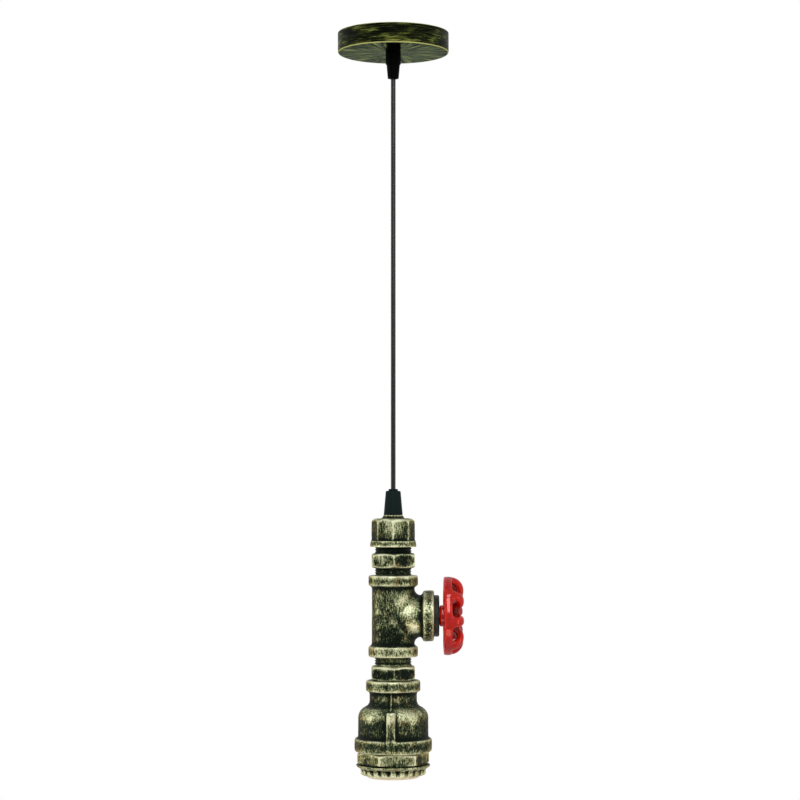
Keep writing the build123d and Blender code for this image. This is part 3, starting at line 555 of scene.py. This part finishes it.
def brushed_casting():
    """Black-green iron with dry-brushed antique gold on all that stands out, painted highlights and shade in
    smears and belts, and a painted warm reflection on the sides facing left and right.
    """
    material, tree, shader = new_material("brushed_casting")
    place = object_place(tree)
    upright = vector_math(tree, "MULTIPLY", place, (1.0, 1.0, 0.28))
    speckle = noise(tree, place, 1.25, 4.0, 0.7)
    strokes = noise(tree, upright, 0.9, 3.0, 0.65)
    patches = noise(tree, place, 8.0, 2.0, 0.5)
    worn, raised = attribute(tree, "worn"), attribute(tree, "raised")
    # The gilding's amount, with the painted highlights and painted shade of the smears and belts added in
    amount = total(tree, (
        (speckle, 1.5), (strokes, 1.9), (patches, 0.8), (worn, 0.26), (raised, 0.6),
        (gilt_and_painted_light_zones(tree, place), 1.0)
    ), -1.86)
    gilt = step_range(tree, amount, -0.1, 1.0)
    colour = ramp(tree, gilt, (
        (0.0, "0c1411"), (0.22, "1e2a20"), (0.45, "4d583e"),
        (0.65, "7f8661"), (0.83, "a6ab84"), (1.0, "d2d6b6"),
    ))
    # Surfaces facing left and right, the outline seen from the front, get a darker warm tone: a painted
    # reflection of warm light at grazing angles
    side_facing = facing(tree, "Normal", "X", 0.65, 1.0)
    brown = step_range(tree, noise(tree, place, 13.0, 2.0), 0.5, 0.7, 0.0, 0.5)
    brown = arithmetic(tree, "MULTIPLY", brown, step_range(tree, gilt, 0.1, 0.5))
    colour = blend_colours(tree, brown, colour, linear("66502c"))
    warm_edge_reflection = vector_math(tree, "MULTIPLY", colour, linear("f4dcae")[:3])
    colour = blend_colours(tree, side_facing, colour, warm_edge_reflection)
    join(tree, colour, shader.inputs["Base Color"])
    join(tree, step_range(tree, gilt, 0.35, 0.85, 0.0, 0.5), shader.inputs["Metallic"])
    join(tree, step_range(tree, gilt, 0.2, 0.9, 0.6, 0.34), shader.inputs["Roughness"])
    shader.inputs["Specular IOR Level"].default_value = 0.1
    shader.inputs["Specular Tint"].default_value = linear("7a7148")
    shader.inputs["Coat Weight"].default_value = 0.02
    shader.inputs["Coat Roughness"].default_value = 0.16
    height = total(tree, ((speckle, 0.6), (strokes, 0.5), (noise(tree, place, 0.5, 2.0), 0.3)))
    join(tree, bump(tree, height, 0.3), shader.inputs["Normal"])
    return material


def canopy_paint():
    """Black-green enamel with gold-green brush streaks, round the band and out from the middle."""
    material, tree, shader = new_material("canopy_paint")
    place = object_place(tree)
    round_band = vector_math(tree, "MULTIPLY", place, (1.0, 1.0, 19.0))
    flat = vector_math(tree, "MULTIPLY", place, (1.0, 1.0, 0.0))
    outward = vector_math(tree, "NORMALIZE", flat)
    rays = vector_math(tree, "SCALE", outward, scale=22.0)
    rays = vector_math(tree, "ADD", rays, vector_math(tree, "SCALE", flat, scale=0.06))
    level = facing(tree, "True Normal", "Z", 0.6, 0.8)
    band_streaks = noise(tree, round_band, 15.0, 6.0, 0.75)
    band_patches = noise(tree, vector_math(tree, "MULTIPLY", place, (1.0, 1.0, 2.5)), 24.0, 2.0)
    band = total(tree, ((band_streaks, 3.4), (band_patches, 1.6)), -2.0)
    band_colour = ramp(tree, band, (
        (0.0, "040603"), (0.35, "0b0e08"), (0.6, "242a13"), (0.82, "4a5325"), (1.0, "858c45")
    ))
    ray_streaks = noise(tree, rays, 1.6, 4.0, 0.65)
    fine = noise(tree, place, 0.8, 2.0)
    face = total(tree, ((ray_streaks, 3.0), (fine, 0.3)), -1.15)
    face_colour = ramp(tree, face, (
        (0.0, "262d28"), (0.35, "39433c"), (0.6, "4a5646"), (0.85, "67734c"), (1.0, "8d9860")
    ))
    sheen = ramp(tree, face, (
        (0.0, "7b7f7b"), (0.35, "92968f"), (0.6, "a3a89a"), (0.85, "bcc3a0"), (1.0, "d6dca8")
    ))
    colour = blend_colours(tree, level, band_colour, face_colour)
    rubbed = total(tree, ((attribute(tree, "worn"), 1.0), (band_streaks, 0.9)), -0.45)
    rim = step_range(tree, rubbed, 0.25, 0.5)
    colour = blend_colours(tree, rim, colour, linear("b4b775"))
    join(tree, colour, shader.inputs["Base Color"])
    join(tree, level, shader.inputs["Metallic"])
    join(tree, blend_colours(tree, level, linear("606a50"), sheen), shader.inputs["Specular Tint"])
    rough = step_range(tree, band_streaks, 0.3, 0.8, 0.5, 0.36)
    rough = arithmetic(tree, "MULTIPLY_ADD", level, -0.26, rough)
    join(tree, rough, shader.inputs["Roughness"])
    shader.inputs["Specular IOR Level"].default_value = 0.05
    height = blend_colours(tree, level, band_streaks, ray_streaks)
    join(tree, bump(tree, height, 0.12), shader.inputs["Normal"])
    return material


def moulded_plastic(name, code, light_code, roughness, lit_low_code=None):
    """Black moulding plastic with a faint spark-eroded grain; given a lighter blue-grey code, it turns
    lighter towards the bottom as painted light on the lower grip, against painted shade on the upper one.
    """
    material, tree, shader = new_material(name)
    place = object_place(tree)
    mottle = noise(tree, place, 3.0, 3.0)
    grain = noise(tree, place, 0.35, 2.0)
    colour = blend_colours(tree, step_range(tree, mottle, 0.35, 0.7), linear(code), linear(light_code))
    if lit_low_code:
        # Lighter blue-grey towards the bottom: painted light on the lower grip
        lower = step_range(tree, coordinate(tree, place, "Z"), *shade_to_light_grip_heights, 0.85, 0.0)
        colour = blend_colours(tree, lower, colour, linear(lit_low_code))
    join(tree, colour, shader.inputs["Base Color"])
    rough = step_range(tree, grain, 0.3, 0.7, roughness - 0.06, roughness + 0.06)
    join(tree, rough, shader.inputs["Roughness"])
    shader.inputs["Specular IOR Level"].default_value = 0.02
    join(tree, bump(tree, grain, 0.05), shader.inputs["Normal"])
    return material


def cord_sheath(name, code, light_code, roughness=0.34):
    """Drawn plastic, with very faint lines along it."""
    material, tree, shader = new_material(name)
    place = object_place(tree)
    drawn = noise(tree, vector_math(tree, "MULTIPLY", place, (1.0, 1.0, 0.02)), 0.7, 2.0)
    mottle = noise(tree, place, 5.0, 2.0)
    colour = blend_colours(tree, step_range(tree, mottle, 0.3, 0.7), linear(code), linear(light_code))
    join(tree, colour, shader.inputs["Base Color"])
    rough = step_range(tree, mottle, 0.3, 0.7, roughness - 0.04, roughness + 0.05)
    join(tree, rough, shader.inputs["Roughness"])
    shader.inputs["Specular IOR Level"].default_value = 0.3
    join(tree, bump(tree, drawn, 0.04), shader.inputs["Normal"])
    return material


def red_enamel():
    """Thick glossy red paint, with painted shade in the hollows and painted light on what stands out."""
    material, tree, shader = new_material("red_enamel")
    place = object_place(tree)
    mottle = noise(tree, place, 6.0, 3.0)
    peel = noise(tree, place, 1.6, 2.0)
    worn, raised = attribute(tree, "worn"), attribute(tree, "raised")
    # Darker in the hollows and lighter on what stands out as painted shade and light, with random mottle
    painted_shade_and_mottle = total(tree, ((worn, 0.1), (raised, 0.4), (mottle, 0.5)), 0.3)
    colour = ramp(tree, painted_shade_and_mottle, (
        (0.0, "200100"), (0.3, "560502"), (0.55, "960c03"), (0.8, "b81204"), (1.0, "d01a08")
    ))
    join(tree, colour, shader.inputs["Base Color"])
    join(tree, step_range(tree, mottle, 0.3, 0.7, 0.2, 0.3), shader.inputs["Roughness"])
    shader.inputs["Metallic"].default_value = 0.15
    shader.inputs["Specular Tint"].default_value = linear("c02010")
    shader.inputs["Specular IOR Level"].default_value = 0.0
    shader.inputs["Coat Weight"].default_value = 0.44
    shader.inputs["Coat Roughness"].default_value = 0.05
    join(tree, bump(tree, peel, 0.14), shader.inputs["Normal"])
    return material


def black_plug():
    """Blackened steel plug with a worn blue-grey face."""
    material, tree, shader = new_material("plug_black")
    place = object_place(tree)
    turned_marks = noise(tree, vector_math(tree, "MULTIPLY", place, (5.0, 1.0, 1.0)), 3.0, 3.0)
    mottle = noise(tree, place, 3.0, 4.0, 0.6)
    amount = total(tree, ((mottle, 1.2), (turned_marks, 0.7), (attribute(tree, "worn"), 0.25)), -0.5)
    colour = ramp(tree, amount, ((0.0, "050607"), (0.5, "0b0e10"), (0.8, "171d20"), (1.0, "343c41")))
    join(tree, colour, shader.inputs["Base Color"])
    join(tree, step_range(tree, mottle, 0.3, 0.7, 0.4, 0.55), shader.inputs["Roughness"])
    shader.inputs["Metallic"].default_value = 0.25
    shader.inputs["Specular IOR Level"].default_value = 0.3
    join(tree, bump(tree, mottle, 0.2), shader.inputs["Normal"])
    return material


def porcelain():
    """Cream glazed porcelain with a few specks under the glaze."""
    material, tree, shader = new_material("porcelain")
    place = object_place(tree)
    tone = noise(tree, place, 12.0, 2.0)
    specks = step_range(tree, noise(tree, place, 0.9, 1.0), 0.76, 0.8)
    colour = blend_colours(tree, tone, linear("efe3c6"), linear("f7efdc"))
    colour = blend_colours(tree, arithmetic(tree, "MULTIPLY", specks, 0.5), colour, linear("b79c72"))
    join(tree, colour, shader.inputs["Base Color"])
    join(tree, step_range(tree, tone, 0.3, 0.7, 0.16, 0.26), shader.inputs["Roughness"])
    shader.inputs["Coat Weight"].default_value = 0.5
    shader.inputs["Coat Roughness"].default_value = 0.05
    join(tree, bump(tree, noise(tree, place, 4.0, 2.0), 0.15), shader.inputs["Normal"])
    return material


def bare_metal(name, dull_code, bright_code, roughness):
    """Plated or rolled metal with cloudy tarnish and fine scratches."""
    material, tree, shader = new_material(name)
    place = object_place(tree)
    clouds = noise(tree, place, 4.0, 4.0, 0.6)
    scratches = noise(tree, vector_math(tree, "MULTIPLY", place, (0.15, 2.0, 1.0)), 0.6, 3.0)
    colour = blend_colours(tree, step_range(tree, clouds, 0.35, 0.65), linear(dull_code), linear(bright_code))
    join(tree, colour, shader.inputs["Base Color"])
    shader.inputs["Metallic"].default_value = 1.0
    rough = total(tree, ((clouds, 0.2), (scratches, 0.12)), roughness - 0.16)
    join(tree, rough, shader.inputs["Roughness"])
    join(tree, bump(tree, scratches, 0.03), shader.inputs["Normal"])
    return material


def block_nylon():
    """Milky nylon, a little see-through."""
    material, tree, shader = new_material("block_nylon")
    place = object_place(tree)
    clouds = noise(tree, place, 4.0, 2.0)
    colour = blend_colours(tree, clouds, linear("dfe0da"), linear("f2f2ec"))
    join(tree, colour, shader.inputs["Base Color"])
    join(tree, step_range(tree, clouds, 0.3, 0.7, 0.38, 0.5), shader.inputs["Roughness"])
    shader.inputs["Subsurface Weight"].default_value = 0.3
    shader.inputs["Subsurface Scale"].default_value = nylon_depth
    join(tree, bump(tree, noise(tree, place, 0.4, 2.0), 0.03), shader.inputs["Normal"])
    return material


# Pieces


def place_piece(obj, body, slot, *nodes):
    """Gives a piece its material, body and slot, and lets it stand for its nodes."""
    obj.data.materials.clear()
    obj.data.materials.append(finishes[slot])
    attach(obj, body)
    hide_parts(*nodes)
    return obj


def casting(node, thread_bands=(), roughness=1.0, fillet=0.0, seam=False):
    """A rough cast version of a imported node, with its relief marked for the brushwork."""
    obj = copy_of(node, node + "_casting")
    if fillet:
        filled_corners(obj, fillet, cast_voxel, cast_smooth_passes)
    else:
        remeshed(obj, cast_voxel, cast_smooth_passes)
    if seam:
        raise_seam(obj)
    mark_relief(obj)
    if thread_bands:
        cut_thread(obj, thread_bands)
        keep_dark(obj, thread_bands)
    roughen(obj, roughness)
    return place_piece(obj, "pendant", "brushed_casting", node)


def slot_of(node):
    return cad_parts[node].material_slots[0].material.name.split(".")[0]


def dressed(node, body, bevel):
    """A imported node's shape with its edges broken by a small bevel."""
    slot = slot_of(node)
    obj = copy_of(node, node + "_finished")
    smooth_shaded(obj.data)
    modifier = obj.modifiers.new("Bevel", "BEVEL")
    modifier.width = bevel
    modifier.segments = 2
    modifier.limit_method = "ANGLE"
    modifier.angle_limit = math.radians(bevel_angle)
    obj.modifiers.new("Normals", "WEIGHTED_NORMAL")
    baked(obj)
    return place_piece(obj, body, slot, node)


def flex(name, points, diameter, body, slot, *nodes):
    """A round cord or wire along a smooth line."""
    curve = bpy.data.curves.new(name, "CURVE")
    curve.dimensions = "3D"
    curve.bevel_depth = diameter / 2
    curve.bevel_resolution = 6
    curve.resolution_u = 12
    curve.use_fill_caps = True
    line = curve.splines.new("NURBS")
    line.points.add(len(points) - 1)
    for point, place in zip(line.points, points):
        point.co = (*place, 1.0)
    line.order_u = 3
    line.use_endpoint_u = True
    obj = link(bpy.data.objects.new(name, curve))
    return place_piece(obj, body, slot, *nodes)


def make_canopy():
    """The drawn cup, from its hole along the underside, up the wall and back inside."""
    low_z = -cup_height
    top_z = low_z + cup_wall
    hole, hole_edge = cup_hole_radius, cup_hole_radius + cup_lip
    outer = [(hole, low_z), (hole_edge, low_z), (cup_radius / 2, low_z)]
    outer += [(cup_radius - cup_edge - cup_flat_margin, low_z)]
    edge = arc((cup_radius - cup_edge, low_z + cup_edge), cup_edge, -90, 0, 8)
    wall = [(cup_radius, -cup_height / 2), (cup_radius, -2 * cup_lip)]
    lip = arc((cup_radius - cup_lip, -cup_lip), cup_lip, 0, 90, 3)
    lip += arc((cup_radius - cup_wall + cup_lip, -cup_lip), cup_lip, 90, 180, 3)
    inside = [(cup_radius - cup_wall, -cup_height / 2)]
    inner_edge = arc((cup_radius - 2 * cup_wall, top_z + cup_wall), cup_wall, 0, -90, 4)
    floor = [(cup_radius / 2, top_z), (hole_edge, top_z), (hole, top_z)]
    edge_wear = [0, 0.1, 0.6, 1, 1, 0.9, 0.4, 0, 0]
    lip_wear = [0.5] * len(lip)
    hidden = inside + inner_edge + floor
    wear = [0] * len(outer) + edge_wear + [0] * len(wall) + lip_wear + [0] * len(hidden)
    obj = lathe("canopy_shell", outer + edge + wall + lip + hidden, wear)
    place_piece(obj, "canopy", "canopy_paint", "canopy_cup")


def make_cord():
    """The cord's free length, which hangs taut from grip to grip."""
    third = cord_length / 3
    run = [(0, 0, mouth_z), (0, 0, mouth_z - third), (0, 0, mouth_z - 2 * third), (0, 0, cord_end_z)]
    cord = flex("cord_run", run, cord_diameter, "pendant", "cord_sheath", "cord")


def upright_run(name, high, low, body, node):
    """A straight upright length of the sheathed cord."""
    run = [(0, 0, high), (0, 0, (high + low) / 2), (0, 0, low)]
    flex(name, run, cord_diameter, body, "cord_sheath", node)


def make_wires():
    """The cord inside the two grips, the knuckle that it swings on, and its two cores."""
    upright_run("canopy_cord_run", sheath_top_z, mouth_z + swing_room, "canopy", "canopy_cord_end")
    upright_run("cord_knuckle", mouth_z + ball_half, mouth_z - ball_half, "cord_top", "cord_bend")
    upright_run("pipe_cord_run", cord_end_z, sheath_low_z, "pendant", "cord_in_pipe")
    for side, name in ((-1, "live"), (1, "neutral")):
        upper = [(side * x * mm, y * mm, z * mm) for x, y, z in upper_core_route]
        lower = [(side * x * mm, y * mm, z * mm) for x, y, z in lower_core_route]
        slot = name + "_insulation"
        flex("canopy_" + name + "_wire", upper, core_diameter, "canopy", slot, "canopy_" + name + "_core")
        flex("lamp_" + name + "_wire", lower, core_diameter, "pendant", slot, name + "_core")


def make_screw_shell():
    """The rolled brass shell that the lamp screws into, with its neck and its web."""
    step = (shell_neck_z - shell_low_z) / shell_thread_rows
    heights = [shell_low_z + step * i for i in range(shell_thread_rows + 1)]
    outside = [(shell_bore_radius + shell_sheet, z) for z in heights]
    neck = [
        (shell_outer_radius, shell_neck_z + shell_sheet), (shell_outer_radius, shell_top_z),
        (shell_web_radius, shell_top_z), (shell_web_radius, shell_top_z - shell_sheet),
        (shell_neck_radius, shell_top_z - shell_sheet), (shell_neck_radius, shell_neck_z),
    ]
    inside = [(shell_bore_radius, z) for z in reversed(heights)]
    obj = lathe("screw_shell", outside + neck + inside)
    mesh = obj.data
    points = points_of(mesh)
    radius = np.hypot(points[:, 0], points[:, 1])
    turn = np.arctan2(points[:, 1], points[:, 0]) / (2 * math.pi)
    wave = 0.5 - 0.5 * np.cos(2 * math.pi * (points[:, 2] / lamp_thread_pitch - turn))
    room = shell_outer_radius - shell_bore_radius - shell_sheet
    inside_wall = (points[:, 2] < shell_neck_z - step / 2) & (radius < shell_outer_radius)
    lift = np.where(inside_wall, room * wave, 0)
    points[:, :2] *= ((radius + lift) / radius)[:, None]
    set_points(mesh, points)
    place_piece(obj, "pendant", "contact_brass", "lampholder_shell")


def make_small_parts():
    """The turned, pressed and moulded parts, most of them inside the cup, the cap and the tee."""
    canopy = (
        "ceiling_bracket", "canopy_grip_body", "canopy_grip_sleeve", "canopy_washer", "canopy_lock_nut",
        "terminal_block", "terminal_block_tubes", "terminal_block_screws",
    )
    pendant = (
        "pipe_grip_collet", "pipe_grip_body", "pipe_washer", "pipe_lock_nut", "centre_contact",
        "live_terminal", "neutral_terminal", "terminal_screws",
    )
    wheel = ("handwheel_screw", "valve_stem", "stem_washer", "stem_nut")
    for body, names in (("canopy", canopy), ("pendant", pendant), ("wheel", wheel)):
        for node in names:
            dressed(node, body, small_bevel)
    dressed("canopy_grip_cone", "canopy", cone_bevel)
    dressed("pipe_grip_cone", "pendant", cone_bevel)
    dressed("lampholder_body", "pendant", porcelain_bevel)


def make_castings():
    casting("pipe_cap")
    casting("upper_nipple", thread_bands=nipple_bands("upper_nipple"))
    casting("tee", fillet=cast_fillet)
    casting("lower_nipple", thread_bands=nipple_bands("lower_nipple"))
    casting("bell_reducer", fillet=cast_fillet, seam=True)
    casting("hex_bushing")
    casting("fluted_ring", roughness=0.7)


def nipple_bands(node):
    """The two lengths of thread of a nipple, above and below its hexagon."""
    low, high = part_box(node)
    middle = (low.z + high.z) / 2
    return ((low.z, middle - nipple_hexagon_half), (middle + nipple_hexagon_half, high.z))


def make_wheel():
    obj = copy_of("handwheel", "handwheel_casting")
    filled_corners(obj, wheel_fillet, wheel_voxel, wheel_smooth_passes)
    mark_relief(obj)
    place_piece(obj, "wheel", "red_enamel", "handwheel")


def make_plug():
    obj = remeshed(copy_of("branch_plug", "branch_plug_turned"), cast_voxel, cast_smooth_passes)
    mark_relief(obj)
    roughen(obj, 0.4)
    place_piece(obj, "pendant", "plug_black", "branch_plug")


# Studio


def make_camera():
    data = bpy.data.cameras.new("photo_camera")
    data.sensor_width = sensor_width
    data.lens = sensor_width * focal_pixels / photo_width
    data.shift_y = camera_shift
    data.clip_end = view_depth
    camera = link(bpy.data.objects.new("photo_camera", data))
    camera.location = camera_place
    camera.rotation_euler = (math.radians(90 + camera_pitch), 0, 0)
    bpy.context.scene.camera = camera


def make_lamp(name, place, target, size, watts, colour):
    data = bpy.data.lights.new(name, "AREA")
    data.shape = "RECTANGLE"
    data.size, data.size_y = size
    data.energy = watts
    data.color = colour
    lamp = link(bpy.data.objects.new(name, data))
    lamp.location = place
    lamp.rotation_euler = (Vector(target) - Vector(place)).to_track_quat("-Z", "Y").to_euler()
    lamp.visible_camera = False


def background_rays(tree):
    """One for rays that see the backdrop rather than light the object."""
    path = tree.nodes.new("ShaderNodeLightPath")
    seen = arithmetic(tree, "MAXIMUM", path.outputs["Is Camera Ray"], path.outputs["Is Glossy Ray"])
    return arithmetic(tree, "MAXIMUM", seen, path.outputs["Is Transmission Ray"])


def make_room():
    world = bpy.data.worlds.new("studio")
    bpy.context.scene.world = world
    world.use_nodes = True
    tree = world.node_tree
    tree.nodes.clear()
    output = tree.nodes.new("ShaderNodeOutputWorld")
    background = tree.nodes.new("ShaderNodeBackground")
    background.inputs["Color"].default_value = (1, 1, 1, 1)
    strength = step_range(tree, background_rays(tree), 0.0, 1.0, room_strength, backdrop_strength)
    join(tree, strength, background.inputs["Strength"])
    tree.links.new(background.outputs[0], output.inputs["Surface"])


def make_floor():
    """A pale round floor far below the lamp, which keeps its shadow."""
    ring = [(floor_radius * math.cos(a), floor_radius * math.sin(a), floor_z) for a in full_turn(floor_steps)]
    mesh = bpy.data.meshes.new("floor")
    mesh.from_pydata(ring, [], [tuple(range(floor_steps))])
    floor = link(bpy.data.objects.new("floor", mesh))
    material, tree, shader = new_material("floor_paint")
    tone = noise(tree, object_place(tree), floor_mottle_size, 2.0)
    dark, light = ((floor_shade + change,) * 3 + (1,) for change in (-floor_mottle, floor_mottle))
    shade = blend_colours(tree, tone, dark, light)
    join(tree, shade, shader.inputs["Base Color"])
    shader.inputs["Roughness"].default_value = 0.9
    shader.inputs["Specular IOR Level"].default_value = 0.1
    shader.inputs["Emission Color"].default_value = (1, 1, 1, 1)
    lift = arithmetic(tree, "MULTIPLY", background_rays(tree), floor_lift)
    join(tree, lift, shader.inputs["Emission Strength"])
    mesh.materials.append(material)


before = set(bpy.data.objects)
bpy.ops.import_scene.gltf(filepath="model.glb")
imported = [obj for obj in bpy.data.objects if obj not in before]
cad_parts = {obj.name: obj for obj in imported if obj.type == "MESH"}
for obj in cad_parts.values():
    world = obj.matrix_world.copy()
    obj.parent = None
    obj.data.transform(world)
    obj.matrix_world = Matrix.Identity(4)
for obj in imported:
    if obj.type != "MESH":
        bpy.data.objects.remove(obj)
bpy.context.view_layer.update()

finishes = {
    "brushed_casting": brushed_casting(),
    "canopy_paint": canopy_paint(),
    # The grip plastic's near-black is painted shade under the cup, and its lower blue-grey is painted light
    "grip_plastic": moulded_plastic("grip_plastic", "010202", "040505", 0.5, "1a2727"),
    "grip_rubber": moulded_plastic("grip_rubber", "141414", "1c1c1c", 0.7),
    "cord_sheath": cord_sheath("cord_sheath", "040404", "080808", 0.24),
    "live_insulation": cord_sheath("live_insulation", "5a321c", "6b3d22"),
    "neutral_insulation": cord_sheath("neutral_insulation", "1b4f8f", "2360a8"),
    "red_enamel": red_enamel(),
    "plug_black": black_plug(),
    "porcelain": porcelain(),
    "contact_brass": bare_metal("contact_brass", "a5853f", "d0ad5e", 0.34),
    "zinc_steel": bare_metal("zinc_steel", "6f7376", "989ca0", 0.46),
    "block_nylon": block_nylon(),
}

make_camera()
make_room()
make_floor()
for lamp in studio_lamps:
    make_lamp(*lamp)
make_cord()
make_wires()
make_canopy()
make_castings()
make_wheel()
make_plug()
make_screw_shell()
make_small_parts()

bpy.context.scene.view_settings.view_transform = "Standard"
